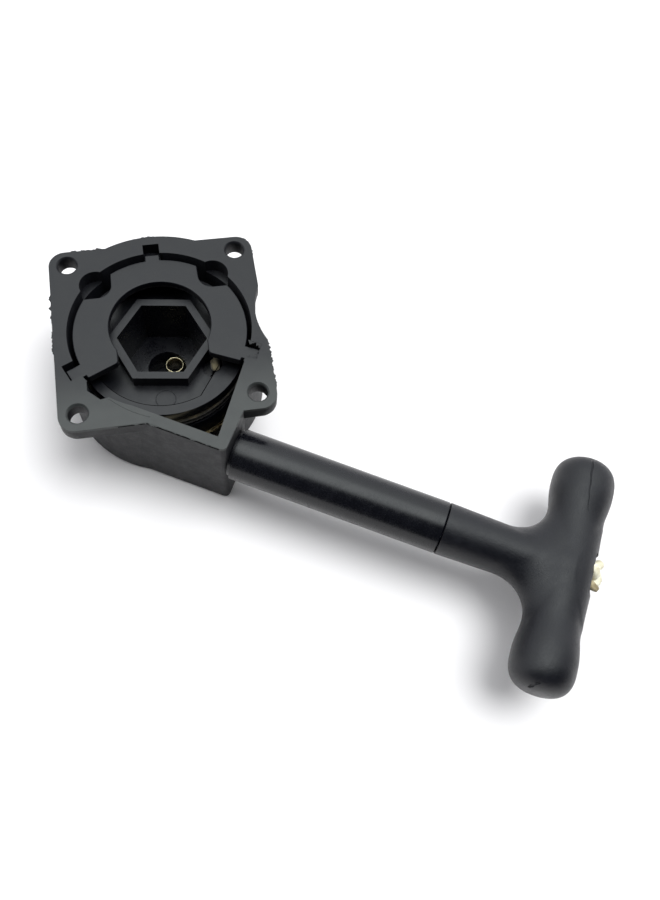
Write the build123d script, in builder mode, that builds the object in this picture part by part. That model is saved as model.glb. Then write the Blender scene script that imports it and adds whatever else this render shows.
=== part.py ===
"""Recoil (pull) starter for a small model engine, modelled piece by piece.

Frame, in millimetres: the origin is the centre of the four mounting screws, on the flange face that is
bolted to the engine. +Z points out of that face, at the engine. The cord leaves along CORD_ANGLE.
"""
from build123d import *
import math
import os

# ---- driving dimensions ------------------------------------------------------------------------------
SCREW_PITCH = 31.0            # square pattern of M3 clearance holes
SCREW_HOLE_R = 1.7
SCREW_CHAMFER = 0.3
FLANGE_HALF = 18.8            # half the side of the square flange
FLANGE_TOP_Y = 18.5
BULGE_R = 20.3                # the flange bulges over the drum along its top edge
FLANGE_T = 3.0
CORNER_R = 3.0
HOUSING_DEPTH = 22.0
FLOOR_T = 1.8
DRUM_R = 18.7
RECESS_R = 16.45              # round recess for the spool and the retainer
SIDE_RELIEF = 1.4             # shallow hollow in the flange's right edge
RELIEF_Y = 0.9
RELIEF_HALF = 6.0

CORD_ANGLE = -30.0            # direction in which the cord is pulled, seen from +Z
CORD_OFFSET = 14.5            # from the spool's axis to the line of the cord
CORD_Z = -8.6
CORD_D = 1.8
BOX_INNER = 16.3              # walls of the cord box, measured across the pull direction
BOX_OUTER = 18.35
BOX_NEAR = 9.6
BOX_BLEND = 5.0               # the end wall runs into the drum here
EXIT_FACE = 20.2              # end face of the cord box, along the pull direction
BOX_CORNER_R = 0.9

TUBE_R = 4.75
TUBE_BORE_R = 1.7
SPIGOT_R = 2.6
SEAM = 59.8                   # where the guide tube ends and the handle begins, along the pull
SEAM_GAP = 0.1
BAR_AXIS = 82.1               # axis of the handle's crossbar, along the pull
LOBE_OFFSET = 17.05           # from the cord to the centre of each rounded bar end
BAR_TILT = 1.0                # the moulding's crossbar isn't quite square to the stem
LOBE_R = 5.65
WAIST_R = 5.0
KNOT_SLOT = (7.9, 5.4)        # slot for the knot in the bar's back, along and across the bar
KNOT_SLOT_SHIFT = 0.85
KNOT_SEAT = 83.5
KNOT_R = 2.6
KNOT_SHIFT = 1.6              # the knot sits to one side of the cord
HANDLE_BORE_R = 1.1

PLATE_TOP = -1.0
PLATE_T = 1.6
PLATE_R = 15.65
PLATE_HOLE_R = 9.2
PLATE_HOLE_Y = 1.35
TAB_ANGLES = (204.5, -24.5)   # the two long tabs; the third, a short one, points along +Y
TAB_W = 2.6
TAB_REACH = 18.25
NOTCH_SPARE = (0.15, 0.65)    # clearance beside each long tab, towards -Y and towards +Y
NOTCH_REACH = 18.5
POCKET_X = 10.75              # round pockets beside the retainer
POCKET_Y = 10.6
POCKET_R = 2.9

HEX_AF = 14.2                 # socket for a 14 mm hexagonal one-way bearing
HEX_WALL = 1.4
HEX_TURN = -7.9
HEX_TOP = -3.7
SOCKET_FLOOR = -14.7
SOCKET_FLOOR_T = 0.9
HUB_BORE_R = 3.68
HUB_R = 5.1
SPOOL_R = 15.3
SPOOL_RIM_R = 13.5
SPOOL_RIM_TOP = -4.8
DISH_Z = -6.4
GROOVE_TOP = -7.2
GROOVE_BOTTOM = -10.8
LOWER_FLANGE_T = 1.2
CORE_R = 10.6
SKIRT_R = 13.9
RIB_COUNT = 8
RIB_T = 1.0
KNOT_SPOT = (8.4, -5.9)       # pocket for the cord's inner knot, beside the hexagon
KNOT_POCKET_R = 1.9

STRIP_T = 0.28                # recoil spring strip
SPRING_GAP = 0.15             # clearance above and below the strip
EYE_SPOT = (1.5, 0.0)         # in the spring's own turned frame
EYE_R = 1.8
SPRING_TURN = 27.0            # direction of the slot in the hub
LOOSE_TURNS = 4               # open turns near the hub
PACKED_TURNS = 9              # turns that lie against the housing's wall
PACKED_PITCH = 0.36
SPRING_OUTER_R = 16.1
ANCHOR_R = 17.2
SLOT_W = 1.3

FLOOR_Z = -HOUSING_DEPTH + FLOOR_T
SPOOL_BASE = SOCKET_FLOOR - SOCKET_FLOOR_T
PULL = Plane(origin=(0, 0, 0), x_dir=Vector(1, 0, 0).rotate(Axis.Z, CORD_ANGLE), z_dir=(0, 0, 1))
CORD_START = PULL.from_local_coords(Vector(0, -CORD_OFFSET, CORD_Z))


def along_cord(distance):
    """Plane square to the cord, its own +Z along the pull, at a distance along the pull direction."""
    return Plane(origin=CORD_START + PULL.x_dir * distance, x_dir=PULL.y_dir, z_dir=PULL.x_dir)


def export(part, name):
    part.part.label = name
    export_step(part.part, f"parts/{name}.step")


os.makedirs("parts", exist_ok=True)

# ---- housing: flange, drum and cord box in one moulding ----------------------------------------------
RELIEF_R = (RELIEF_HALF ** 2 + SIDE_RELIEF ** 2) / (2 * SIDE_RELIEF)
RELIEF_SPOT = (FLANGE_HALF - SIDE_RELIEF + RELIEF_R, RELIEF_Y)

with BuildPart() as housing:
    with BuildSketch(Plane.XY) as flange_outline:
        with Locations((0, (FLANGE_TOP_Y - FLANGE_HALF) / 2)):
            RectangleRounded(2 * FLANGE_HALF, FLANGE_TOP_Y + FLANGE_HALF, CORNER_R)
        with BuildSketch(mode=Mode.PRIVATE) as bulge:
            Circle(BULGE_R)
            with Locations((0, BULGE_R)):
                Rectangle(2 * FLANGE_HALF, 2 * BULGE_R, mode=Mode.INTERSECT)
        add(bulge.sketch)
        with Locations(RELIEF_SPOT):
            Circle(RELIEF_R, mode=Mode.SUBTRACT)
    extrude(amount=-FLANGE_T)

    with BuildSketch(Plane.XY) as drum_outline:
        Circle(DRUM_R)
        with Locations(RELIEF_SPOT):
            Circle(RELIEF_R, mode=Mode.SUBTRACT)
    extrude(amount=-HOUSING_DEPTH)

    with BuildSketch(PULL) as box_outline:
        with BuildLine():
            Polyline((0, -BOX_BLEND), (math.sqrt(DRUM_R ** 2 - BOX_BLEND ** 2), -BOX_BLEND),
                     (EXIT_FACE, -BOX_NEAR), (EXIT_FACE, -BOX_OUTER), (0, -BOX_OUTER), close=True)
        make_face()
    extrude(amount=-HOUSING_DEPTH)
    corner = PULL.from_local_coords(Vector(EXIT_FACE, -BOX_OUTER, -HOUSING_DEPTH / 2))
    fillet([e for e in housing.edges().filter_by(Axis.Z) if (e.center() - corner).length < 0.1], BOX_CORNER_R)

    fillet(housing.faces().sort_by(Axis.Z)[0].outer_wire().edges(), 0.8)

    # round recess and the cavity beside it, where the cord runs off the spool
    with BuildSketch(Plane.XY) as cavity:
        Circle(RECESS_R)
    extrude(amount=FLOOR_Z, mode=Mode.SUBTRACT)
    with BuildSketch(PULL) as window:
        with BuildLine():
            Polyline((0, 0), (0, -BOX_INNER), (EXIT_FACE - 2.15, -BOX_INNER), (16.6, -0.8), close=True)
        make_face()
    extrude(amount=FLOOR_Z, mode=Mode.SUBTRACT)

    # hole for the guide tube's spigot
    with BuildSketch(along_cord(EXIT_FACE - 6)):
        Circle(SPIGOT_R + 0.02)
    extrude(amount=8, mode=Mode.SUBTRACT)

    # notches for the retainer's tabs, and the two round pockets
    with BuildSketch(Plane.XY):
        for angle, up in zip(TAB_ANGLES, (-1, 1)):
            with Locations(Location((0, 0, 0), (0, 0, angle))):
                with Locations((NOTCH_REACH / 2, up * (NOTCH_SPARE[1] - NOTCH_SPARE[0]) / 2)):
                    Rectangle(NOTCH_REACH, TAB_W + sum(NOTCH_SPARE))
        with Locations((0, NOTCH_REACH / 2)):
            Rectangle(3.0, NOTCH_REACH)
    extrude(amount=PLATE_TOP - PLATE_T, mode=Mode.SUBTRACT)
    with BuildSketch(Plane.XY):
        with Locations((POCKET_X, POCKET_Y), (-POCKET_X, POCKET_Y)):
            Circle(POCKET_R)
    extrude(amount=-FLANGE_T, mode=Mode.SUBTRACT)
    with BuildSketch(Plane.XY) as corner_relief:
        with BuildLine():
            Polyline((-12, -9), (-13.6, -9.5), (-13.6, -11.3), (-11.5, -13.3), (-10.2, -13.1), (-9, -11),
                     close=True)
        make_face()
    extrude(amount=-6, mode=Mode.SUBTRACT)

    # slot that holds the spring's outer end
    with BuildSketch(Plane.XY.offset(FLOOR_Z)):
        with Locations(Location((0, 0, 0), (0, 0, SPRING_TURN))):
            with Locations((ANCHOR_R / 2, 0)):
                Rectangle(ANCHOR_R + 0.6, SLOT_W)
    extrude(amount=SPOOL_BASE - FLOOR_Z, mode=Mode.SUBTRACT)

    # screw holes, lightly chamfered at the engine face
    with BuildSketch(Plane.XY):
        with GridLocations(SCREW_PITCH, SCREW_PITCH, 2, 2):
            Circle(SCREW_HOLE_R)
    extrude(amount=-FLANGE_T, mode=Mode.SUBTRACT)
    rims = [e for e in housing.edges().filter_by(GeomType.CIRCLE)
            if abs(e.radius - SCREW_HOLE_R) < 0.01 and abs(e.center().Z) < 0.01]
    chamfer(rims, SCREW_CHAMFER)
export(housing, "housing")

# ---- guide tube: pressed into the cord box, the handle's stem butts against it ------------------------
with BuildPart() as guide_tube:
    with BuildSketch(along_cord(EXIT_FACE - 2.4)):
        Circle(SPIGOT_R)
    extrude(amount=2.5)
    with BuildSketch(along_cord(EXIT_FACE + 0.1)):
        Circle(TUBE_R - 0.5)
    extrude(amount=0.7)
    with BuildSketch(along_cord(EXIT_FACE + 0.7)):
        Circle(TUBE_R)
    extrude(amount=SEAM - SEAM_GAP - EXIT_FACE - 0.7)
    chamfer(guide_tube.edges().filter_by(GeomType.CIRCLE).sort_by(Axis(CORD_START, PULL.x_dir))[-1], 0.25)
    with BuildSketch(along_cord(EXIT_FACE - 4)):
        Circle(TUBE_BORE_R)
    extrude(amount=SEAM, mode=Mode.SUBTRACT)
export(guide_tube, "guide_tube")

# ---- T handle: stem, flare and barrel-shaped crossbar -------------------------------------------------
BAR_WAY = PULL.y_dir.rotate(Axis.Z, BAR_TILT)
BAR_PLANE = Plane(origin=CORD_START + PULL.x_dir * BAR_AXIS, x_dir=BAR_WAY, z_dir=(0, 0, 1))
FLARE = [(68.0, 4.55, 4.55), (71.5, 4.75, 4.6), (74.0, 6.0, 4.7), (76.0, 8.6, 4.6), (80.0, 12.5, 3.9)]
BAR_END = LOBE_OFFSET + LOBE_R

with BuildPart() as handle:
    with BuildSketch(BAR_PLANE):
        with BuildLine():
            ThreePointArc((-LOBE_OFFSET, LOBE_R), (0, WAIST_R), (LOBE_OFFSET, LOBE_R))
            RadiusArc((LOBE_OFFSET, LOBE_R), (BAR_END, 0), LOBE_R)
            Line((BAR_END, 0), (-BAR_END, 0))
            RadiusArc((-BAR_END, 0), (-LOBE_OFFSET, LOBE_R), LOBE_R)
        make_face()
    revolve(axis=Axis(BAR_PLANE.origin, BAR_PLANE.x_dir))
    with BuildSketch(along_cord(SEAM)):
        Circle(TUBE_R)
    extrude(amount=FLARE[0][0] - SEAM + 0.5, taper=1.2)
    for distance, wide, high in FLARE:
        with BuildSketch(along_cord(distance)):
            Ellipse(wide, high)
    loft()
    chamfer(handle.edges().filter_by(GeomType.CIRCLE).sort_by(Axis(CORD_START, PULL.x_dir))[0], 0.2)
    with BuildSketch(along_cord(SEAM - 1)):
        Circle(HANDLE_BORE_R)
    extrude(amount=40, mode=Mode.SUBTRACT)
    with BuildSketch(along_cord(KNOT_SEAT)):
        with Locations((KNOT_SLOT_SHIFT, 0)):
            RectangleRounded(*KNOT_SLOT, 1.5)
    extrude(amount=10, mode=Mode.SUBTRACT)
export(handle, "handle")

# ---- retainer: C-shaped plate that keeps the spool in its recess --------------------------------------
with BuildPart() as retainer_plate:
    with BuildSketch(Plane.XY.offset(PLATE_TOP)) as plate_outline:
        Circle(PLATE_R)
        for angle in TAB_ANGLES:
            with Locations(Location((0, 0, 0), (0, 0, angle))):
                with Locations(((TAB_REACH + 12) / 2, 0)):
                    Rectangle(TAB_REACH - 12, TAB_W)
        with Locations((0, 15.4)):
            Rectangle(2.8, 2.8)
        with Locations((0, PLATE_HOLE_Y)):
            Circle(PLATE_HOLE_R, mode=Mode.SUBTRACT)
        with BuildLine():
            Polyline((-8.05, -2), (-8.05, -5.8), (-17, -9.85), (-17, -20), (17, -20), (17, -9.85),
                     (8.05, -5.8), (8.05, -2), close=True)
        make_face(mode=Mode.SUBTRACT)
        for side in (-1, 1):
            with BuildSketch(mode=Mode.PRIVATE) as gap:
                with Locations((side * 12.05, 12.4)):
                    Rectangle(8, 8)
                fillet(gap.vertices().sort_by(Axis.Y)[:2], 2.6)
            add(gap.sketch, mode=Mode.SUBTRACT)
        ends = [v for v in plate_outline.vertices() if abs(v.Y + 5.8) < 0.05]
        fillet(ends, 0.9)
    extrude(amount=-PLATE_T)
export(retainer_plate, "retainer_plate")

# ---- spool: hexagonal socket, cord groove and slotted spring hub --------------------------------------
CIRCUM = 2 / math.sqrt(3)
GROOVE_MID = (GROOVE_TOP + GROOVE_BOTTOM) / 2
LOWER = GROOVE_BOTTOM - LOWER_FLANGE_T

with BuildPart() as spool:
    with BuildSketch(Plane.XZ) as spool_section:
        with BuildLine():
            Polyline((HUB_BORE_R, FLOOR_Z + 0.1), (HUB_R, FLOOR_Z + 0.1), (HUB_R, SPOOL_BASE),
                     (CORE_R, SPOOL_BASE), (CORE_R, LOWER), (SKIRT_R, LOWER), (SKIRT_R, SPOOL_BASE),
                     (SPOOL_R, SPOOL_BASE), (SPOOL_R, GROOVE_BOTTOM), (CORE_R, GROOVE_BOTTOM),
                     (CORE_R, GROOVE_TOP), (SPOOL_R, GROOVE_TOP), (SPOOL_R, SPOOL_RIM_TOP),
                     (SPOOL_RIM_R, SPOOL_RIM_TOP), (SPOOL_RIM_R, DISH_Z), (HUB_BORE_R, DISH_Z),
                     close=True)
        make_face()
    revolve(axis=Axis.Z)

    # raised block beside the knot pocket
    with BuildSketch(Plane.XY.offset(SPOOL_RIM_TOP - 0.1)) as block:
        Circle(SPOOL_R - 0.3)
        with BuildLine():
            Polyline((9.9, -6.1), (5.5, -12.5), (3.1, -16), (17, -16), (17, 3), (9.9, 3), close=True)
        make_face(mode=Mode.INTERSECT)
    extrude(amount=GROOVE_TOP - SPOOL_RIM_TOP + 0.1)

    # ribs that back the recoil spring
    with BuildSketch(Plane.XY.offset(SPOOL_BASE)):
        with PolarLocations((CORE_R + SKIRT_R) / 2, RIB_COUNT):
            Rectangle(SKIRT_R - CORE_R + 0.8, RIB_T)
    extrude(amount=LOWER - SPOOL_BASE)

    # hexagonal socket wall, then the socket itself
    with BuildSketch(Plane.XY.offset(HEX_TOP)):
        RegularPolygon((HEX_AF / 2 + HEX_WALL) * CIRCUM, 6, rotation=HEX_TURN)
    extrude(amount=DISH_Z - HEX_TOP)
    with BuildSketch(Plane.XY.offset(HEX_TOP)):
        RegularPolygon(HEX_AF / 2 * CIRCUM, 6, rotation=HEX_TURN)
    extrude(amount=SOCKET_FLOOR - HEX_TOP, mode=Mode.SUBTRACT)

    # pocket for the cord's inner knot
    with BuildSketch(Plane.XY.offset(HEX_TOP)):
        with Locations(KNOT_SPOT):
            Circle(KNOT_POCKET_R)
        RegularPolygon((HEX_AF / 2 + HEX_WALL) * CIRCUM, 6, rotation=HEX_TURN, mode=Mode.SUBTRACT)
    extrude(amount=GROOVE_TOP - HEX_TOP, mode=Mode.SUBTRACT)

    # slot in the hub for the spring's inner end
    with BuildSketch(Plane.XY.offset(FLOOR_Z)):
        with Locations(Location((0, 0, 0), (0, 0, SPRING_TURN))):
            with Locations((HUB_R, 0)):
                Rectangle(2 * (HUB_R - HUB_BORE_R) + 1, SLOT_W)
    extrude(amount=SPOOL_BASE - FLOOR_Z, mode=Mode.SUBTRACT)
export(spool, "spool")

# ---- recoil spring: flat strip wound as half circles, an eye at the hub and a hook at the wall --------
LOOSE_START = HUB_R + 0.35
PACKED_START = SPRING_OUTER_R - PACKED_TURNS * PACKED_PITCH
radii = [LOOSE_START + (PACKED_START - LOOSE_START) * (k / (2 * LOOSE_TURNS)) for k in range(2 * LOOSE_TURNS)]
radii += [PACKED_START + PACKED_PITCH / 2 * k for k in range(2 * PACKED_TURNS + 1)]
knots = [(radius if k % 2 == 0 else -radius) for k, radius in enumerate(radii)]
STRIP_W = SPOOL_BASE - FLOOR_Z - 2 * SPRING_GAP
SPRING_PLANE = Plane.XY.offset(FLOOR_Z + SPRING_GAP).rotated((0, 0, SPRING_TURN))


def strip_side(shift):
    """One long side of the strip: half circles end to end, all grown or shrunk by the same shift."""
    sides = []
    for k, (a, b) in enumerate(zip(knots, knots[1:])):
        middle = (a + b) / 2
        radius = abs(a - b) / 2 + shift
        start = math.copysign(radius, a)
        way = 1 if k % 2 == 0 else -1
        sides.append(ThreePointArc((middle + start, 0), (middle, way * radius), (middle - start, 0)))
    return sides


with BuildPart() as recoil_spring:
    with BuildSketch(SPRING_PLANE):
        with BuildLine():
            strip_side(STRIP_T / 2)
            strip_side(-STRIP_T / 2)
            Line((knots[0] - STRIP_T / 2, 0), (knots[0] + STRIP_T / 2, 0))
            Line((knots[-1] - STRIP_T / 2, 0), (knots[-1] + STRIP_T / 2, 0))
        make_face()
        with Locations(EYE_SPOT):
            Circle(EYE_R)
        with Locations(((EYE_SPOT[0] + EYE_R + knots[0]) / 2, 0)):
            Rectangle(knots[0] - EYE_SPOT[0] - EYE_R + STRIP_T, STRIP_T)
        with Locations(EYE_SPOT):
            Circle(EYE_R - STRIP_T, mode=Mode.SUBTRACT)
        with Locations(((knots[-1] + ANCHOR_R) / 2, -STRIP_T / 2)):
            Rectangle(ANCHOR_R - knots[-1] + STRIP_T, STRIP_T)
    extrude(amount=STRIP_W)
export(recoil_spring, "recoil_spring")

# ---- cord: wound on the spool, then straight through the tube to the handle ---------------------------
CORD_R = CORD_D / 2
COIL_R = CORD_OFFSET - 0.05 + CORD_R - 0.25
RUN_START = math.sqrt(COIL_R ** 2 - (CORD_OFFSET - CORD_R) ** 2) + 0.4
KNOT_CENTRE = CORD_START + PULL.x_dir * (KNOT_SEAT + KNOT_R + 0.1) + PULL.y_dir * KNOT_SHIFT
RUN_END = KNOT_SEAT + 1.5

with BuildPart() as cord_coil:
    with BuildSketch(Plane.XZ):
        with Locations(((CORE_R + 0.05 + COIL_R) / 2, GROOVE_MID)):
            RectangleRounded(COIL_R - CORE_R - 0.05, GROOVE_TOP - GROOVE_BOTTOM - 0.1, 0.8)
    revolve(axis=Axis.Z)
export(cord_coil, "cord_coil")

with BuildPart() as cord_run:
    with BuildSketch(along_cord(RUN_START)):
        Circle(CORD_R)
    extrude(amount=RUN_END - RUN_START)
export(cord_run, "cord_run")

with BuildPart() as handle_knot:
    with Locations(KNOT_CENTRE):
        Sphere(KNOT_R)
    with BuildSketch(along_cord(KNOT_SEAT)):
        Circle(CORD_R + 0.03)
    extrude(amount=RUN_END - KNOT_SEAT + 0.03, mode=Mode.SUBTRACT)
export(handle_knot, "handle_knot")

with BuildPart() as spool_knot:
    with BuildSketch(Plane.XY.offset(GROOVE_TOP + 0.05)):
        with Locations(KNOT_SPOT):
            Circle(1.5)
    extrude(amount=2.3)
    fillet(spool_knot.edges().filter_by(GeomType.CIRCLE), 0.9)
export(spool_knot, "spool_knot")
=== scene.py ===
"""Looks of the recoil starter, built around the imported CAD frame. Lengths in the code are millimetres."""
import itertools
import math

import bmesh
import bpy
import numpy as np
from mathutils import Matrix, Vector, noise


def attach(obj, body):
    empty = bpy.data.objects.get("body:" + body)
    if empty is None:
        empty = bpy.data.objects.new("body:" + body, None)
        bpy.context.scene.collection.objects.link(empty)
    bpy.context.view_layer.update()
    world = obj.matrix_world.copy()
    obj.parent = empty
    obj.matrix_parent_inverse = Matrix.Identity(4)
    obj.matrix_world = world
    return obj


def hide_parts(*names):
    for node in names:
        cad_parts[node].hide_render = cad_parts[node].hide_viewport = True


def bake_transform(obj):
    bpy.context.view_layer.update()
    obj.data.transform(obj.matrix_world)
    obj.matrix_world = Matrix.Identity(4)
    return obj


MM = 0.001
FULL_TURN = 2 * math.pi

# ---- driving dimensions ----------------------------------------------------------------------------------
# The camera that the photograph was taken with, worked out from the square of the four screw holes.
CAMERA_PLACE = Vector((4.16, -86.27, 131.9))
CAMERA_FORWARD = Vector((0.14987, 0.39742, -0.90532))
CAMERA_RIGHT = Vector((0.98011, -0.18022, 0.08314))
CAMERA_LENS = 34.0
CAMERA_SENSOR = 36
CAMERA_NEAR = 0.005           # in metres

FLOOR_Z = -22.0               # the housing's back; its flange's face is at 0
FLANGE = 18.8                 # half of the flange's width
BOX_CORNER = (7.4, -25.45)    # top corner of the cord box's outer wall
RIM_TOP = -4.8                # top of the spool's rim, and of the raised block on it
DISH_Z = -6.4                 # the spool's dished face
TAB_ANGLE = math.radians(-24.5)               # direction of the right-hand tab, seen from +Z

# The cord leaves the housing along PULL; ACROSS is square to it, and the cord lies at -CORD_OFFSET across.
PULL_ANGLE = math.radians(-30)
PULL = Vector((math.cos(PULL_ANGLE), math.sin(PULL_ANGLE), 0))
ACROSS = Vector((-PULL.y, PULL.x, 0))
CORD_OFFSET = 14.5
CORD_Z = -8.6
CORD_R = 0.9
SEAM = 59.8                   # where the guide tube ends and the handle begins, along the pull
BAR_AXIS = 82.1               # axis of the handle's crossbar, along the pull


def cord_point(along, across=0.0, up=0.0):
    """A point in millimetres, from distances along the pull, across it and above the cord."""
    return PULL * along + ACROSS * (across - CORD_OFFSET) + Vector((0, 0, CORD_Z + up))


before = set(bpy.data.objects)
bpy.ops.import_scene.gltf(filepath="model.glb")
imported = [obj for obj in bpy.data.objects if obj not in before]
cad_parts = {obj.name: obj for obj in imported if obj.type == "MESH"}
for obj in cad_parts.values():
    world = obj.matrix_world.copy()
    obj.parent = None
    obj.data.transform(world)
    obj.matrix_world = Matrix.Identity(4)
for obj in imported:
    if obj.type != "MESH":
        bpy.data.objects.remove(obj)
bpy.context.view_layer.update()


# ---- meshes ----------------------------------------------------------------------------------------------
def make_object(name, vertices, faces, material, smooth=True):
    """A mesh object from millimetre vertices."""
    mesh = bpy.data.meshes.new(name)
    mesh.from_pydata([tuple(Vector(v) * MM) for v in vertices], [], [tuple(f) for f in faces])
    mesh.validate()
    bm = bmesh.new()
    bm.from_mesh(mesh)
    bmesh.ops.remove_doubles(bm, verts=bm.verts, dist=1e-7)
    bmesh.ops.recalc_face_normals(bm, faces=bm.faces)
    bm.to_mesh(mesh)
    bm.free()
    for polygon in mesh.polygons:
        polygon.use_smooth = smooth
    piece = bpy.data.objects.new(name, mesh)
    bpy.context.scene.collection.objects.link(piece)
    mesh.materials.append(material)
    return piece


def cord_mesh(name, vertices, faces, material):
    """A mesh whose vertices are given as (along, across, up) from the cord's line."""
    return make_object(name, [cord_point(*v) for v in vertices], faces, material)


def sweep(points, radius, sides=20, closed=False):
    """Vertices and faces of a tube along points. radius is a number, or a function of (share, angle)."""
    points = [Vector(p) for p in points]
    count = len(points)
    tangents = []
    for i in range(count):
        before = points[i - 1] if closed or i else points[i]
        after = points[(i + 1) % count] if closed or i < count - 1 else points[i]
        tangents.append((after - before).normalized())
    side = tangents[0].orthogonal().normalized()
    vertices = []
    for i, (point, tangent) in enumerate(zip(points, tangents)):
        side = (side - tangent * side.dot(tangent)).normalized()
        other = tangent.cross(side)
        for j in range(sides):
            angle = FULL_TURN * j / sides
            r = radius(i / count, angle) if callable(radius) else radius
            vertices.append(point + side * (r * math.cos(angle)) + other * (r * math.sin(angle)))
    faces = []
    for i in range(count if closed else count - 1):
        for j in range(sides):
            a, b = i * sides + j, i * sides + (j + 1) % sides
            c, d = ((i + 1) % count) * sides + (j + 1) % sides, ((i + 1) % count) * sides + j
            faces.append((a, b, c, d))
    if not closed:
        faces.append(tuple(reversed(range(sides))))
        faces.append(tuple(range((count - 1) * sides, count * sides)))
    return vertices, faces


def net_faces(inside, index):
    """Quads of the surface between inside and outside grid points, whose crossed cells index numbers."""
    faces = []
    for axis in range(3):
        one = [slice(None)] * 3
        two = [slice(None)] * 3
        one[axis], two[axis] = slice(0, -1), slice(1, None)
        a, b = inside[tuple(one)], inside[tuple(two)]
        u, v = [n for n in range(3) if n != axis]
        for start, turned in ((a & ~b, axis == 1), (~a & b, axis != 1)):
            edge = np.argwhere(start)
            edge = edge[(edge[:, u] > 0) & (edge[:, v] > 0)]
            corners = []
            for du, dv in ((-1, -1), (0, -1), (0, 0), (-1, 0)):
                at = edge.copy()
                at[:, u] += du
                at[:, v] += dv
                corners.append(index[at[:, 0], at[:, 1], at[:, 2]])
            quad = np.stack(corners[::-1] if turned else corners, axis=1)
            faces.append(quad[(quad >= 0).all(axis=1)])
    return np.concatenate(faces)


def surface_net(field, low, high, step):
    """Vertices and faces of the surface where field(x, y, z) is 0, negative inside, on a grid of cubes."""
    axes = [np.arange(low[i], high[i] + step, step) for i in range(3)]
    inside = field(*np.meshgrid(*axes, indexing="ij")) < 0
    shape = tuple(n - 1 for n in inside.shape)
    total = np.zeros(shape, int)
    for i, j, k in itertools.product((0, 1), repeat=3):
        total += inside[i:shape[0] + i, j:shape[1] + j, k:shape[2] + k]
    crossed = (total > 0) & (total < 8)
    index = np.full(shape, -1)
    index[crossed] = np.arange(crossed.sum())
    cells = np.argwhere(crossed)
    points = np.stack([axes[i][cells[:, i]] + step / 2 for i in range(3)], axis=1)
    faces = net_faces(inside, index)

    # move each point onto the surface by Newton steps, no further than its own cell reaches
    eps = step * 0.05
    reach = step * 0.75
    origin = points.copy()
    for _ in range(8):
        value = field(*points.T)
        slope = np.stack([(field(*(points + eps * e).T) - field(*(points - eps * e).T)) / (2 * eps)
                          for e in np.eye(3)], axis=1)
        points = points - slope * (value / np.maximum((slope ** 2).sum(axis=1), 1e-6))[:, None]
        points = np.clip(points, origin - reach, origin + reach)
    return points, faces


def smooth_union(a, b, k):
    """The union of two fields, with a fillet about k wide where they meet."""
    share = np.clip(0.5 + 0.5 * (b - a) / k, 0, 1)
    return b * (1 - share) + a * share - k * share * (1 - share)


def apply_modifiers(piece):
    """Replaces a piece's mesh by the mesh that its modifiers make."""
    depsgraph = bpy.context.evaluated_depsgraph_get()
    mesh = bpy.data.meshes.new_from_object(piece.evaluated_get(depsgraph))
    piece.modifiers.clear()
    old = piece.data
    piece.data = mesh
    bpy.data.meshes.remove(old)


def cut(piece, cutter):
    """Takes cutter away from piece."""
    modifier = piece.modifiers.new("cut", "BOOLEAN")
    modifier.operation = "DIFFERENCE"
    modifier.solver = "EXACT"
    modifier.object = cutter
    bpy.context.view_layer.update()
    apply_modifiers(piece)
    bpy.data.objects.remove(cutter)


# ---- materials -------------------------------------------------------------------------------------------
class Nodes:
    """A node tree, with short calls that add nodes to it."""

    def __init__(self, tree):
        self.tree = tree
        tree.nodes.clear()

    def add(self, kind, **settings):
        node = self.tree.nodes.new(kind)
        for name, value in settings.items():
            setattr(node, name, value)
        return node

    def link(self, source, target):
        self.tree.links.new(source, target)

    def put(self, value, socket):
        """Gives a socket a number or a colour, or links another socket to it."""
        if isinstance(value, tuple):
            socket.default_value = (*value, 1)
        elif isinstance(value, (int, float)):
            socket.default_value = value
        else:
            self.link(value, socket)

    def math(self, kind, a, b):
        node = self.add("ShaderNodeMath", operation=kind)
        self.put(a, node.inputs[0])
        self.put(b, node.inputs[1])
        return node.outputs[0]

    def spread(self, source, low, high, to_low=0.0, to_high=1.0):
        """Goes smoothly from to_low to to_high while source goes from low to high."""
        node = self.add("ShaderNodeMapRange", interpolation_type="SMOOTHSTEP")
        for socket, value in (("From Min", low), ("From Max", high), ("To Min", to_low), ("To Max", to_high)):
            node.inputs[socket].default_value = value
        self.link(source, node.inputs["Value"])
        return node.outputs[0]

    def mix(self, share, a, b):
        """A colour between a and b."""
        node = self.add("ShaderNodeMix", data_type="RGBA")
        self.link(share, node.inputs[0])
        self.put(a, node.inputs[6])
        self.put(b, node.inputs[7])
        return node.outputs[2]

    def part(self, source, name):
        """The X, Y or Z of a vector."""
        node = self.add("ShaderNodeSeparateXYZ")
        self.link(source, node.inputs[0])
        return node.outputs[name]


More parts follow.
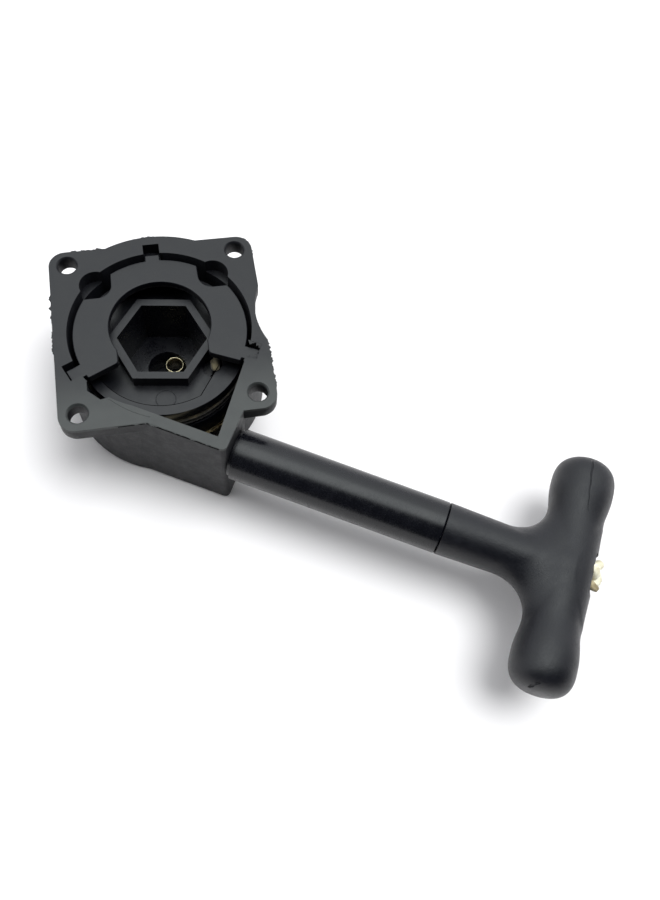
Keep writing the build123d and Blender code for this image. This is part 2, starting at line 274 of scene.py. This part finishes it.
class Shader(Nodes):
    """A Principled material. Its place is the object coordinate, in metres."""

    def __init__(self, name, color, roughness, metallic=0.0, ior=1.5):
        self.material = bpy.data.materials.new(name)
        self.material.use_nodes = True
        super().__init__(self.material.node_tree)
        self.shader = self.add("ShaderNodeBsdfPrincipled")
        self.link(self.shader.outputs[0], self.add("ShaderNodeOutputMaterial").inputs[0])
        self.shader.inputs["Base Color"].default_value = (*color, 1)
        self.shader.inputs["Roughness"].default_value = roughness
        self.shader.inputs["Metallic"].default_value = metallic
        self.shader.inputs["IOR"].default_value = ior
        coordinates = self.add("ShaderNodeTexCoord")
        self.place = coordinates.outputs["Object"]
        self.upright = coordinates.outputs["Normal"]

    def noise(self, size, detail=4.0, rough=0.6, stretch=None):
        """Noise whose features are about size millimetres wide."""
        node = self.add("ShaderNodeTexNoise")
        node.inputs["Scale"].default_value = 1 / (size * MM)
        node.inputs["Detail"].default_value = detail
        node.inputs["Roughness"].default_value = rough
        self.link(self.scaled(stretch) if stretch else self.place, node.inputs["Vector"])
        return node.outputs[0]

    def scaled(self, scale):
        """The object coordinate, scaled along each axis."""
        node = self.add("ShaderNodeMapping")
        node.inputs["Scale"].default_value = scale
        self.link(self.place, node.inputs["Vector"])
        return node.outputs[0]

    def bump(self, height, distance, normal=None):
        node = self.add("ShaderNodeBump")
        node.inputs["Strength"].default_value = 1.0
        node.inputs["Distance"].default_value = distance * MM
        self.link(height, node.inputs["Height"])
        if normal:
            self.link(normal, node.inputs["Normal"])
        return node.outputs[0]

    def color(self, source):
        self.link(source, self.shader.inputs["Base Color"])

    def roughness(self, source):
        self.link(source, self.shader.inputs["Roughness"])

    def normal(self, source):
        self.link(source, self.shader.inputs["Normal"])


NYLON_IOR = 1.43
BLACK = (0.0021, 0.0023, 0.0038)
PAINTED_SHEEN = (0.30, 0.33, 0.31)     # painted sheen: a paler flange face, fullest at the cord box's end
SHEEN_FULL_Y = -17.0
SHEEN_CLEAR_Y = -6.0
SOCKET_R = 8.22               # the hexagonal socket's corners lie just inside this
SOCKET_TOP = -3.8


def moulded_nylon(name, color, roughness, grain=0.30, grain_depth=0.008, wave_depth=0.02, painted_sheen=0.0,
                  side_rough=0.0, socket_gloss=0.0):
    """Black glass-filled nylon: fine moulded grain, slow waviness, uneven gloss, pale rubbed specks.

    A painted sheen, whose share is the argument after wave_depth, pales the flange's face near the cord box;
    side_rough dulls upright walls, and socket_gloss polishes the inside of the hexagonal socket.
    """
    s = Shader(name, color, roughness, ior=NYLON_IOR)
    fine = s.noise(grain, detail=6, rough=0.7)
    slow = s.noise(7.0, detail=3, rough=0.5)
    blotch = s.noise(2.2, detail=5, rough=0.65)
    rough = s.math("ADD", s.spread(blotch, 0.3, 0.7, roughness - 0.05, roughness + 0.05),
                   s.spread(fine, 0.3, 0.7, -0.05, 0.05))
    if side_rough:
        rough = s.math("ADD", rough, s.spread(s.part(s.upright, "Z"), 0.2, 0.8, side_rough, 0.0))
    if socket_gloss:
        reach = s.add("ShaderNodeVectorMath", operation="LENGTH")
        s.link(s.scaled((1, 1, 0)), reach.inputs[0])
        near = s.spread(reach.outputs["Value"], SOCKET_R * MM, (SOCKET_R + 0.18) * MM, 1.0, 0.0)
        deep = s.spread(s.part(s.place, "Z"), (SOCKET_TOP - 0.5) * MM, SOCKET_TOP * MM, 1.0, 0.0)
        rough = s.math("SUBTRACT", rough, s.math("MULTIPLY", s.math("MULTIPLY", near, deep), socket_gloss))
    s.roughness(rough)
    pale = tuple(c * 1.9 + 0.012 for c in color)
    specks = s.spread(s.noise(0.5, detail=3, rough=0.8), 0.62, 0.75)
    tone = s.mix(s.spread(blotch, 0.35, 0.75), color, tuple(c * 1.35 for c in color))
    shown = s.mix(s.math("MULTIPLY", specks, 0.5), tone, pale)
    # painted sheen: the flange's top face made paler towards the cord box
    if painted_sheen:
        near = s.spread(s.part(s.place, "Y"), SHEEN_FULL_Y * MM, SHEEN_CLEAR_Y * MM, painted_sheen, 0.0)
        top = s.spread(s.part(s.place, "Z"), -0.9 * MM, -0.4 * MM)
        shown = s.mix(s.math("MULTIPLY", near, top), shown, PAINTED_SHEEN)
    s.color(shown)
    wavy = s.bump(slow, wave_depth)
    s.normal(s.bump(fine, grain_depth, normal=wavy))
    return s.material


def sprung_steel():
    """Strip steel with streaks along Z and brownish patches of oil."""
    s = Shader("spring_steel_look", (0.50, 0.45, 0.34), 0.24, metallic=1.0)
    streak = s.noise(0.6, detail=5, stretch=(1, 1, 6))
    s.roughness(s.spread(streak, 0.3, 0.7, 0.16, 0.38))
    s.color(s.mix(s.spread(s.noise(1.3), 0.45, 0.7), (0.52, 0.47, 0.36), (0.30, 0.25, 0.17)))
    s.normal(s.bump(streak, 0.004))
    return s.material


def fibre(name, clean, dirty, soil):
    """Braided nylon cord: yarn bump and soiled patches."""
    s = Shader(name, clean, 0.75)
    yarn = s.noise(0.16, detail=3)
    patch = s.noise(1.6)
    s.color(s.mix(s.spread(patch, 0.5 - soil / 2, 0.85 - soil / 2), clean, dirty))
    s.normal(s.bump(yarn, 0.03))
    s.shader.inputs["Sheen Weight"].default_value = 0.25
    s.shader.inputs["Sheen Roughness"].default_value = 0.5
    return s.material


def painted_shade_material():
    """Pure black that gives nothing back: painted shade, for dark lines in crevices and under edges."""
    s = Shader("painted_shade_look", (0.002, 0.002, 0.002), 0.95)
    s.shader.inputs["Specular IOR Level"].default_value = 0.0
    return s.material


housing_nylon = moulded_nylon("housing_nylon_look", BLACK, 0.40, wave_depth=0.010, painted_sheen=0.11, side_rough=0.2)
retainer_nylon = moulded_nylon("retainer_nylon_look", BLACK, 0.36)
spool_nylon = moulded_nylon("spool_nylon_look", BLACK, 0.38, socket_gloss=0.08)
tube_nylon = moulded_nylon("tube_nylon_look", BLACK, 0.25, grain=0.45, grain_depth=0.003)
handle_nylon = moulded_nylon("handle_nylon_look", tuple(c * 1.3 for c in BLACK), 0.39, grain_depth=0.05)
spring_steel = sprung_steel()
# paler steel for the spring eye's worn rim, partly a painted highlight
worn_rim_and_highlight_steel = Shader("worn_rim_and_highlight_look", (0.86, 0.76, 0.50), 0.38, metallic=1.0).material
cord_clean = fibre("cord_fibre_clean", (0.92, 0.91, 0.74), (0.62, 0.57, 0.38), 0.25)
cord_used = fibre("cord_fibre_used", (0.74, 0.69, 0.51), (0.50, 0.44, 0.28), 0.3)
# soiled wound cord, painted paler as lit for the turn in the cord box's window
cord_wound_lit = fibre("cord_fibre_wound_lit", (0.17, 0.14, 0.075), (0.03, 0.027, 0.02), 0.5)
cord_soiled = fibre("cord_fibre_soiled", (0.50, 0.43, 0.26), (0.22, 0.18, 0.10), 0.4)
cord_inner = fibre("cord_fibre_inner", (0.27, 0.24, 0.145), (0.12, 0.10, 0.06), 0.4)
# soiled cord painted near-black as shade, for the wound turns deep in the housing
cord_oil_and_shade = fibre("cord_fibre_oil_and_shade", (0.022, 0.021, 0.019), (0.008, 0.008, 0.008), 0.6)
painted_shade = painted_shade_material()

CAD_LOOKS = {"housing": housing_nylon, "retainer_plate": retainer_nylon, "spool": spool_nylon,
             "guide_tube": tube_nylon, "handle": handle_nylon, "recoil_spring": spring_steel,
             "cord_coil": cord_oil_and_shade, "cord_run": cord_used, "handle_knot": cord_clean,
             "spool_knot": cord_oil_and_shade}
for node, look in CAD_LOOKS.items():
    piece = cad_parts[node]
    if not piece.material_slots:
        piece.data.materials.append(look)
    for material_slot in piece.material_slots:
        material_slot.material = look


# ---- edges of the moulded pieces -------------------------------------------------------------------------
def soften_edges(node, width, segments=2):
    """Rounds a CAD piece's sharp edges a little, as moulding and wear do."""
    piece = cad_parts[node]
    piece.modifiers.new("weld", "WELD").merge_threshold = 1e-6
    flat = piece.modifiers.new("flat", "DECIMATE")
    flat.decimate_type = "DISSOLVE"
    flat.angle_limit = math.radians(0.3)
    bevel = piece.modifiers.new("bevel", "BEVEL")
    bevel.width = width * MM
    bevel.segments = segments
    bevel.limit_method = "ANGLE"
    bevel.angle_limit = math.radians(35)
    bevel.harden_normals = True
    bevel.use_clamp_overlap = True


soften_edges("housing", 0.12)
soften_edges("retainer_plate", 0.30, segments=3)
soften_edges("spool", 0.12)


# ---- handle ----------------------------------------------------------------------------------------------
BAR_TILT = math.tan(math.radians(1.0))        # the crossbar isn't quite square to the stem
LOBE_AT = 16.45               # from the bar's middle to where its rounded ends begin
CAP_POWER = 2.8               # the bar's ends are blunter than a ball
NECK_END = 9.0                # from the bar's middle to where it is thinnest
LOBE_START, LOBE_RUN = 8.5, 7.5               # where the lobe begins to swell, and over what length
WAIST_R = 5.0
NECK_DIP = 0.22               # how much thinner the bar is on the way to its lobes
LOBE_RISE = 0.87
STEM_R = 4.76
STEM_TOP = 4.75               # the fillet between stem and bar is widest at z = 0 and narrowest here
STEM_TAPER = 0.025            # per millimetre, from TAPER_START over TAPER_RUN
TAPER_START, TAPER_RUN = 60, 12
FILLET_MIN, FILLET_SPARE = 1.8, 6.4
GRIP_LOW = (57.5, -23.5, -6.3)
GRIP_HIGH = (88.6, 23.5, 6.3)
GRIP_STEP = 0.36
SLOT_LOW = (83.5, -3.1, -2.7)                 # slot in the bar's back, for the cord's knot
SLOT_HIGH = (92.0, 4.8, 2.7)
SLOT_ROUND = 0.9
BORE_R = 1.15
BORE_END = 84.5
CREASE_OUTER, CREASE_INNER, CREASE_STEP = 21.6, 10.2, 0.35
# where the scar of the mould's gate runs, as (along, across)
GATE = ((80.6, -21.9), (80.85, -21.75), (81.0, -21.5), (81.25, -21.4), (81.6, -21.1))


def bar_radius(far):
    """Radius of the crossbar at a distance from its middle: waist, neck and rounded lobe."""
    neck = np.clip(far / NECK_END, 0, 1)
    lobe = np.clip((far - LOBE_START) / LOBE_RUN, 0, 1)
    return WAIST_R - NECK_DIP * neck * neck * (3 - 2 * neck) + LOBE_RISE * lobe * lobe * (3 - 2 * lobe)


def handle_field(s, n, z):
    """Below 0 inside the handle, at s along the pull, n across it and z above the cord."""
    far = np.abs(n)
    axis = BAR_AXIS - BAR_TILT * n
    over = np.maximum(far - LOBE_AT, 0)
    rounded = ((s - axis) ** 2 + z ** 2) ** (CAP_POWER / 2) + over ** CAP_POWER
    bar = rounded ** (1 / CAP_POWER) - bar_radius(far)
    stem_radius = STEM_R - STEM_TAPER * np.clip(s - TAPER_START, 0, TAPER_RUN)
    stem = np.maximum(np.sqrt(n ** 2 + z ** 2) - stem_radius, s - axis)
    fillet = FILLET_MIN + FILLET_SPARE * np.clip(1 - (z / STEM_TOP) ** 2, 0, 1)
    return smooth_union(bar, stem, fillet)


def bar_surface(s, n):
    """Point on the crossbar's top side."""
    axis = BAR_AXIS - BAR_TILT * n
    over = max(abs(n) - LOBE_AT, 0)
    radius = float(bar_radius(abs(n)))
    across = (radius ** CAP_POWER - over ** CAP_POWER) ** (1 / CAP_POWER) if over < radius else 0.0
    return Vector((s, n, math.sqrt(max(across ** 2 - (s - axis) ** 2, 0))))


def crease_point(n):
    """Point of the fine crease that the mould left along one half of the crossbar."""
    return bar_surface(81.25 + 0.0105 * (21.5 - n) ** 2 + 0.06 * math.sin(2.1 * n), n)


def box_mesh(low, high):
    """Corners and faces of a box between two (along, across, up) corners."""
    corners = [(x, y, z) for x in (low[0], high[0]) for y in (low[1], high[1]) for z in (low[2], high[2])]
    return corners, [(0, 1, 3, 2), (4, 6, 7, 5), (0, 4, 5, 1), (2, 3, 7, 6), (0, 2, 6, 4), (1, 5, 7, 3)]


def end_at_seam(piece):
    """Cuts the stem off square where it meets the guide tube, and closes the end."""
    bm = bmesh.new()
    bm.from_mesh(piece.data)
    split = bmesh.ops.bisect_plane(bm, geom=bm.verts[:] + bm.edges[:] + bm.faces[:],
                                   plane_co=cord_point(SEAM) * MM, plane_no=PULL, clear_inner=True)
    rim = [edge for edge in split["geom_cut"] if isinstance(edge, bmesh.types.BMEdge)]
    bmesh.ops.holes_fill(bm, edges=rim)
    bm.to_mesh(piece.data)
    bm.free()


grip = cord_mesh("handle_grip", *surface_net(handle_field, GRIP_LOW, GRIP_HIGH, GRIP_STEP), handle_nylon)
end_at_seam(grip)

slot_cutter = cord_mesh("slot_cutter", *box_mesh(SLOT_LOW, SLOT_HIGH), handle_nylon)
round_off = slot_cutter.modifiers.new("round", "BEVEL")
round_off.width = SLOT_ROUND * MM
round_off.segments = 4
apply_modifiers(slot_cutter)
cut(grip, slot_cutter)

bore = sweep([(SEAM - 1, 0, 0), (BORE_END, 0, 0)], BORE_R, sides=32)
cut(grip, cord_mesh("bore_cutter", *bore, handle_nylon))

crease = sweep([crease_point(n) for n in np.arange(CREASE_OUTER, CREASE_INNER, -CREASE_STEP)],
               lambda share, angle: 0.22 - 0.14 * share, sides=8)
cut(grip, cord_mesh("crease_cutter", *crease, handle_nylon))

gate_scar = sweep([bar_surface(*point) for point in GATE],
                  lambda share, angle: 0.16 + 0.2 * math.sin(9 * share) ** 2, sides=9)
cut(grip, cord_mesh("gate_cutter", *gate_scar, handle_nylon))

for polygon in grip.data.polygons:
    polygon.use_smooth = True
grip.data.set_sharp_from_angle(angle=math.radians(40))
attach(grip, "handle")
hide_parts("handle")


# ---- cord ------------------------------------------------------------------------------------------------
DIP_ANGLE, DIP_SPREAD = math.radians(240), 0.7                # where the run leaves the coil


def braid(radius, crossings, rows=8, depth=0.07):
    """Radius of a braided cord: small diamonds that run round it both ways, crossings times along it."""
    def at(share, angle):
        one = math.cos(rows * angle / 2 + FULL_TURN * crossings * share)
        two = math.cos(rows * angle / 2 - FULL_TURN * crossings * share)
        return radius * (1 - depth + depth * abs(one * two) * 2)
    return at


def ring_path(radius, z, count, wobble, seed, dip):
    """A closed turn of cord on the spool, uneven as hand-wound cord is. It dips where the run leaves it."""
    path = []
    for i in range(count):
        angle = FULL_TURN * i / count
        way = Vector((math.cos(angle), math.sin(angle), 0))
        near_run = math.exp(-((angle - DIP_ANGLE) / DIP_SPREAD) ** 2)
        r = radius + wobble * noise.noise(way * 1.3 + Vector((seed, 0, 0)))
        up = z + wobble * noise.noise(way * 1.7 + Vector((0, seed, 5))) + dip * near_run
        path.append(way * r + Vector((0, 0, up)))
    return path


TURN_POINTS = 220
# radius, height, unevenness and dip of each turn on the spool
COIL_TURNS = [(11.6, -8.15, 0.1, 0.0), (11.65, -9.85, 0.1, 0.0), (13.1, -8.95, 0.25, 0.0),
              (12.9, -9.9, 0.15, 0.0), (14.45, -8.12, 0.12, -0.48), (14.3, -9.85, 0.3, 0.0)]
LIT_TURN = 4                 # the turn that shows most in the cord box's window is paler, painted light; the other turns are soiled cord painted near-black as shade
for k, (radius, z, wobble, dip) in enumerate(COIL_TURNS):
    path = ring_path(radius, z, TURN_POINTS, wobble, 3.7 * k + 1.1, dip)
    turn = make_object(f"cord_turn_{k + 1}", *sweep(path, braid(CORD_R, 60), sides=16, closed=True),
                       cord_wound_lit if k == LIT_TURN else cord_oil_and_shade)
    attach(turn, "spool")
    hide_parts("cord_coil")

RUN_START, RUN_END, RUN_STEP = -1.6, 86.0, 0.3
run_path = [(s, 0.05 * math.sin(s / 5), 0) for s in np.arange(RUN_START, RUN_END, RUN_STEP)]
run = cord_mesh("cord_run_braid", *sweep(run_path, braid(CORD_R, 44), sides=16), cord_used)
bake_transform(run)
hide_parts("cord_run")

KNOT_CORD_R = 0.88            # drawn tight, the cord is a little thinner in its knots
TAIL_R = 0.82


def knot_path(count, size, turn, place):
    """An overhand knot, as a trefoil."""
    path = []
    for i in range(count):
        t = FULL_TURN * i / count
        x = math.sin(t) + 2 * math.sin(2 * t)
        y = math.cos(t) - 2 * math.cos(2 * t)
        path.append(turn @ (Vector((x, y, -1.35 * math.sin(3 * t))) * size) + Vector(place))
    return path


def strand_radius(share, angle):
    """The loose tail: five yarns side by side, drawn in at its far end."""
    yarns = 1 + 0.10 * math.sin(5 * angle + 9 * share)
    return TAIL_R * yarns * math.sqrt(max(1 - share ** 4, 0.05))


def inner_knot_radius(share, angle):
    """The inner knot: a rounded lump of five yarns."""
    yarns = 1 + 0.05 * math.sin(5 * angle + 9 * share)
    return KNOT_CORD_R * yarns * max(1 - abs(2 * share - 0.95) ** 2.6, 0.04) ** 0.5


KNOT_POINTS, KNOT_SIZE, KNOT_PLACE = 150, 0.68, (86.8, 1.8, 0.1)
knot_turn = Matrix.Rotation(math.radians(62), 3, "Y") @ Matrix.Rotation(math.radians(20), 3, "Z")
outer_knot = sweep(knot_path(KNOT_POINTS, KNOT_SIZE, knot_turn, KNOT_PLACE), braid(KNOT_CORD_R, 14),
                   sides=16, closed=True)
knot = cord_mesh("handle_knot_braid", *outer_knot, cord_clean)
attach(knot, "handle")
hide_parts("handle_knot")

TAIL_START, TAIL_END = Vector((84.6, 0.3, 0.0)), Vector((88.4, -1.4, 0.8))
tail_path = [TAIL_START.lerp(TAIL_END, t / 14) + Vector((0, 0, 0.25 * math.sin(t / 4))) for t in range(15)]
tail = cord_mesh("handle_knot_tail", *sweep(tail_path, strand_radius, sides=16), cord_soiled)
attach(tail, "handle")
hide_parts("handle_knot")

inner_knot_path = [Vector((9.0 + 0.12 * u, -5.65 + 1.15 * u, -5.9 + 0.3 * math.cos(1.5 * u)))
                   for u in np.linspace(-1.12, 1.12, 22)]
inner_knot = make_object("spool_knot_braid", *sweep(inner_knot_path, inner_knot_radius, sides=20), cord_inner)
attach(inner_knot, "spool")
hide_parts("spool_knot")


# ---- recoil spring ---------------------------------------------------------------------------------------
SPRING_LOW, SPRING_HIGH = -20.05, -15.78
SPRING_TURN = math.radians(27)                # direction of the slot in the spool's hub
STRIP_T = 0.28
ANCHOR_R = 17.15              # the strip's outer end, hooked in the housing's wall
PACKED_TURNS, PACKED_OUTER_R, PACKED_PITCH = 9, 16.1, 0.36
LOOSE_TURNS, LOOSE_OUTER_R, LOOSE_INNER_R = 5, 12.86, 5.5
SPIRAL_STEP = 0.12            # in radians
EYE = (1.45, 1.2)
EYE_R = 1.64
EYE_RIM_R = 0.105             # the eye's worn upper edge; its paler steel is partly a painted highlight
EYE_GAP = 0.04                # in radians, where the eye closes on its own tongue
TONGUE_R = 5.35               # how far out the eye's tongue reaches through the hub


def round_point(radius, angle, middle=(0, 0)):
    return (middle[0] + radius * math.cos(angle), middle[1] + radius * math.sin(angle))


def ring(middle, radius, z, count):
    """Points round a level circle."""
    return [(*round_point(radius, a, middle), z) for a in np.linspace(0, FULL_TURN, count + 1)[:-1]]


def strip(path, thickness, low, high):
    """An upright strip of steel along flat (x, y) points, with its two long edges rounded."""
    half = thickness / 2
    outline = [(-half, low + half), (0, low), (half, low + half),
               (half, high - half), (0, high), (-half, high - half)]
    sides = len(outline)
    vertices, faces = [], []
    for i, point in enumerate(path):
        before, after = Vector(path[max(i - 1, 0)]), Vector(path[min(i + 1, len(path) - 1)])
        way = (after - before).normalized()
        vertices += [(point[0] - way.y * off, point[1] + way.x * off, z) for off, z in outline]
        if i:
            old, new = (i - 1) * sides, i * sides
            faces += [(old + k, old + (k + 1) % sides, new + (k + 1) % sides, new + k) for k in range(sides)]
    faces += [tuple(range(sides)), tuple(range(len(vertices) - 1, len(vertices) - 1 - sides, -1))]
    return vertices, faces


spring_path = [round_point(ANCHOR_R, SPRING_TURN)]
spring_path += [round_point(PACKED_OUTER_R - PACKED_PITCH * a / FULL_TURN, SPRING_TURN - a)
                for a in np.arange(0, FULL_TURN * PACKED_TURNS, SPIRAL_STEP)]
spring_path += [round_point(LOOSE_OUTER_R - (LOOSE_OUTER_R - LOOSE_INNER_R) * a / (FULL_TURN * LOOSE_TURNS),
                            SPRING_TURN - a)
                for a in np.arange(0, FULL_TURN * LOOSE_TURNS, SPIRAL_STEP)]
wound = make_object("spring_strip", *strip(spring_path, STRIP_T, SPRING_LOW, SPRING_HIGH), spring_steel)
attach(wound, "housing")

eye_path = [round_point(EYE_R, SPRING_TURN + a, EYE) for a in np.linspace(FULL_TURN - EYE_GAP, 0, 64)]
eye_path.append(round_point(TONGUE_R, SPRING_TURN))
rim = sweep(ring(EYE, EYE_R, SPRING_HIGH, 64), EYE_RIM_R, sides=12, closed=True)
eye_rim = make_object("spring_eye_rim", *rim, worn_rim_and_highlight_steel)
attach(eye_rim, "spool")
eye = make_object("spring_eye", *strip(eye_path, STRIP_T, SPRING_LOW, SPRING_HIGH), spring_steel)
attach(eye, "spool")
for piece in (wound, eye, eye_rim):
    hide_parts("recoil_spring")
    piece.data.set_sharp_from_angle(angle=math.radians(50))


# ---- flash on the housing's edges ------------------------------------------------------------------------
def flash(name, corners, reach, drop, seed, step=0.22):
    """A thin ragged fin along a top edge, which goes through (x, y) corners with the outside on its right."""
    corners = [Vector((*corner, 0)) for corner in corners]
    samples = []
    for a, b in zip(corners, corners[1:]):
        way = (b - a).normalized()
        count = max(int((b - a).length / step), 1)
        samples += [(a.lerp(b, i / count), way) for i in range(count)]
    samples.append((corners[-1], way))
    vertices, faces = [], []
    for i, (point, way) in enumerate(samples):
        out = Vector((way.y, -way.x, 0))
        coarse = noise.noise(point * 0.9 + Vector((seed, seed, 0)))
        fine = noise.noise(point * 3.3 + Vector((seed, 0, 9)))
        fade = min(i, len(samples) - 1 - i, 3) / 3
        far = reach * max(coarse + 0.9 * fine + 0.3, 0.04) * fade + 0.01
        root = point - out * 0.12
        vertices += [root + Vector((0, 0, -0.015)), point + out * far + Vector((0, 0, -0.06 - 0.25 * far)),
                     root + Vector((0, 0, -drop))]
        if i:
            j = 3 * i
            faces += [(j - 3, j - 2, j + 1, j), (j - 2, j - 1, j + 2, j + 1), (j - 1, j - 3, j, j + 2)]
    faces += [(0, 2, 1), (len(vertices) - 3, len(vertices) - 2, len(vertices) - 1)]
    fin = make_object(name, vertices, faces, housing_nylon, smooth=False)
    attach(fin, "housing")


flash("flash_top_left", [(-8.6, 18.5), (-15.2, 18.5)], 0.5, 0.6, 1.3)
flash("flash_bulge", [(3.5, 20.0), (0, 20.3), (-3.5, 20.0)], 0.3, 0.5, 4.1)
flash("flash_corner", [(18.75, 13.5), (18.7, 15.6), (17.9, 17.5), (16.6, 18.4)], 0.5, 0.9, 2.7)
flash("flash_left", [(-FLANGE, 9.5), (-FLANGE, -3.5)], 0.35, 0.5, 7.7)
flash("flash_right", [(FLANGE, -15.2), (FLANGE, -5.2)], 0.45, 0.7, 5.9)
flash("flash_box", [(-9.5, -FLANGE), (-4.13, -FLANGE), BOX_CORNER], 0.22, 0.35, 8.8)

# broken edges of the notch for the right-hand tab, from inside out, across its end and back
TAB_WAY = Vector((math.cos(TAB_ANGLE), math.sin(TAB_ANGLE), 0))
TAB_SIDE = Vector((-TAB_WAY.y, TAB_WAY.x, 0))
NOTCH = ((15.9, 1.95), (18.45, 1.95), (18.45, -1.45), (16.4, -1.45))
flash("flash_notch", [(TAB_WAY * along + TAB_SIDE * aside)[:2] for along, aside in NOTCH],
      0.85, 0.45, 3.6, step=0.16)


# ---- fine lines ------------------------------------------------------------------------------------------
def line_between(start, end, count):
    """Evenly spaced points from start up to end, which is left out."""
    return [start.lerp(end, t / count) for t in range(count)]


# a witness line of the mould on the flange
witness = [(-10.2 + 6.7 * t, -13.3 - 4.5 * t - 0.5 * math.sin(math.pi * t), 0.0)
           for t in np.linspace(0, 1, 14)]
line = make_object("witness_line", *sweep(witness, 0.045, sides=6), housing_nylon)
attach(line, "housing")

# the round mark of an ejector pin on the spool's dish
pin_mark = ring((-0.7, -11.3), 1.8, DISH_Z, 48)
ejector = make_object("ejector_mark", *sweep(pin_mark, 0.075, sides=8, closed=True), spool_nylon)
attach(ejector, "spool")

# painted shade: a black line along the crevice where the dish meets the spool's rim, then along the raised
# block
BLOCK_START, BLOCK_END = Vector((5.55, -12.25, RIM_TOP - 0.13)), Vector((9.6, -6.35, RIM_TOP - 0.13))
crevice = [(*round_point(13.44, a), RIM_TOP - 0.06) for a in np.radians(np.arange(200, 293, 3))]
crevice += line_between(BLOCK_START, BLOCK_END, 12) + [BLOCK_END]
crevice_shade_line = make_object("dish_crevice_painted_shade", *sweep(crevice, 0.075, sides=8), painted_shade)
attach(crevice_shade_line, "spool")

# painted shade: a black line under the flange's edge, along the cord box
EDGE_START = Vector((-9.0, -18.84, -0.36))
EDGE_BEND = Vector((-4.2, -18.84, -0.36))
EDGE_END = Vector((7.3, -25.48, -0.36))
shade = line_between(EDGE_START, EDGE_BEND, 8) + line_between(EDGE_BEND, EDGE_END, 16) + [EDGE_END]
under_edge = make_object("box_edge_shade", *sweep(shade, 0.07, sides=8), painted_shade)
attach(under_edge, "housing")


# ---- stage and camera ------------------------------------------------------------------------------------
STAGE_REACH = 2500
STAGE_Z = FLOOR_Z - 0.02
paper = Shader("floor_look", (0.93, 0.93, 0.93), 0.9)
paper.color(paper.mix(paper.noise(40), (0.93, 0.93, 0.935), (0.945, 0.945, 0.95)))
stage_corners = [(x * STAGE_REACH, y * STAGE_REACH, STAGE_Z) for x, y in ((-1, -1), (1, -1), (1, 1), (-1, 1))]
floor = make_object("floor", stage_corners, [(0, 1, 2, 3)], paper.material)

camera_data = bpy.data.cameras.new("camera")
camera_data.lens = CAMERA_LENS
camera_data.sensor_width = CAMERA_SENSOR
camera_data.clip_start = CAMERA_NEAR
camera = bpy.data.objects.new("camera", camera_data)
bpy.context.scene.collection.objects.link(camera)
back = -CAMERA_FORWARD.normalized()
right = (CAMERA_RIGHT - back * CAMERA_RIGHT.dot(back)).normalized()
camera_turn = Matrix((right, back.cross(right), back)).transposed()
camera.matrix_world = Matrix.Translation(CAMERA_PLACE * MM) @ camera_turn.to_4x4()
bpy.context.scene.camera = camera


# ---- light -----------------------------------------------------------------------------------------------
# A bright studio ceiling that is dark towards the camera's side. It shows white to the camera, and counts for
# less in diffuse light than in reflections.
DIM = 0.05
MIRRORED = 1.10
SCATTERED = 0.52

world = bpy.data.worlds.new("studio")
bpy.context.scene.world = world
world.use_nodes = True
sky = Nodes(world.node_tree)
way = sky.add("ShaderNodeTexCoord").outputs["Generated"]
up = sky.part(way, "Z")
lit_side = sky.spread(sky.part(way, "Y"), -0.36, -0.04)
overhead = sky.spread(up, 0.80, 0.96, 0.0, 1.1)
rising = sky.math("ADD", sky.math("MULTIPLY", sky.math("POWER", up, 2.0), 1.3), 1.0)
ceiling = sky.math("ADD", rising, overhead)
glow = sky.math("ADD", sky.math("MULTIPLY", lit_side, sky.math("SUBTRACT", ceiling, DIM)), DIM)

ray = sky.add("ShaderNodeLightPath").outputs
strength = sky.add("ShaderNodeMix")
sky.link(ray["Is Diffuse Ray"], strength.inputs[0])
sky.link(sky.math("MULTIPLY", glow, MIRRORED), strength.inputs[2])
sky.link(sky.math("MULTIPLY", glow, SCATTERED), strength.inputs[3])
brightness = sky.math("MAXIMUM", strength.outputs[0], ray["Is Camera Ray"])
tint = sky.mix(sky.math("MULTIPLY", up, 1.1), (0.93, 0.95, 1.0), (0.935, 0.985, 0.99))
tint = sky.mix(ray["Is Diffuse Ray"], tint, (0.985, 0.98, 1.0))
tint = sky.mix(ray["Is Camera Ray"], tint, (1, 1, 1))
background = sky.add("ShaderNodeBackground")
sky.link(tint, background.inputs["Color"])
sky.link(brightness, background.inputs["Strength"])
sky.link(background.outputs[0], sky.add("ShaderNodeOutputWorld").inputs[0])
bpy.context.scene.view_settings.view_transform = "Standard"

# A soft lamp, high on the right, gives the shadows their direction.
LAMP_TURN = math.radians(90)                  # from +Y towards +X
LAMP_HEIGHT = math.radians(72)
LAMP_SIZE = math.radians(38)
LAMP_ENERGY = 2.2
lamp_data = bpy.data.lights.new("soft_lamp", "SUN")
lamp_data.energy = LAMP_ENERGY
lamp_data.angle = LAMP_SIZE
lamp = bpy.data.objects.new("soft_lamp", lamp_data)
bpy.context.scene.collection.objects.link(lamp)
lamp_from = Vector((math.cos(LAMP_HEIGHT) * math.sin(LAMP_TURN), math.cos(LAMP_HEIGHT) * math.cos(LAMP_TURN),
                    math.sin(LAMP_HEIGHT)))
lamp.rotation_euler = lamp_from.to_track_quat("Z", "Y").to_euler()
lamp.visible_glossy = False
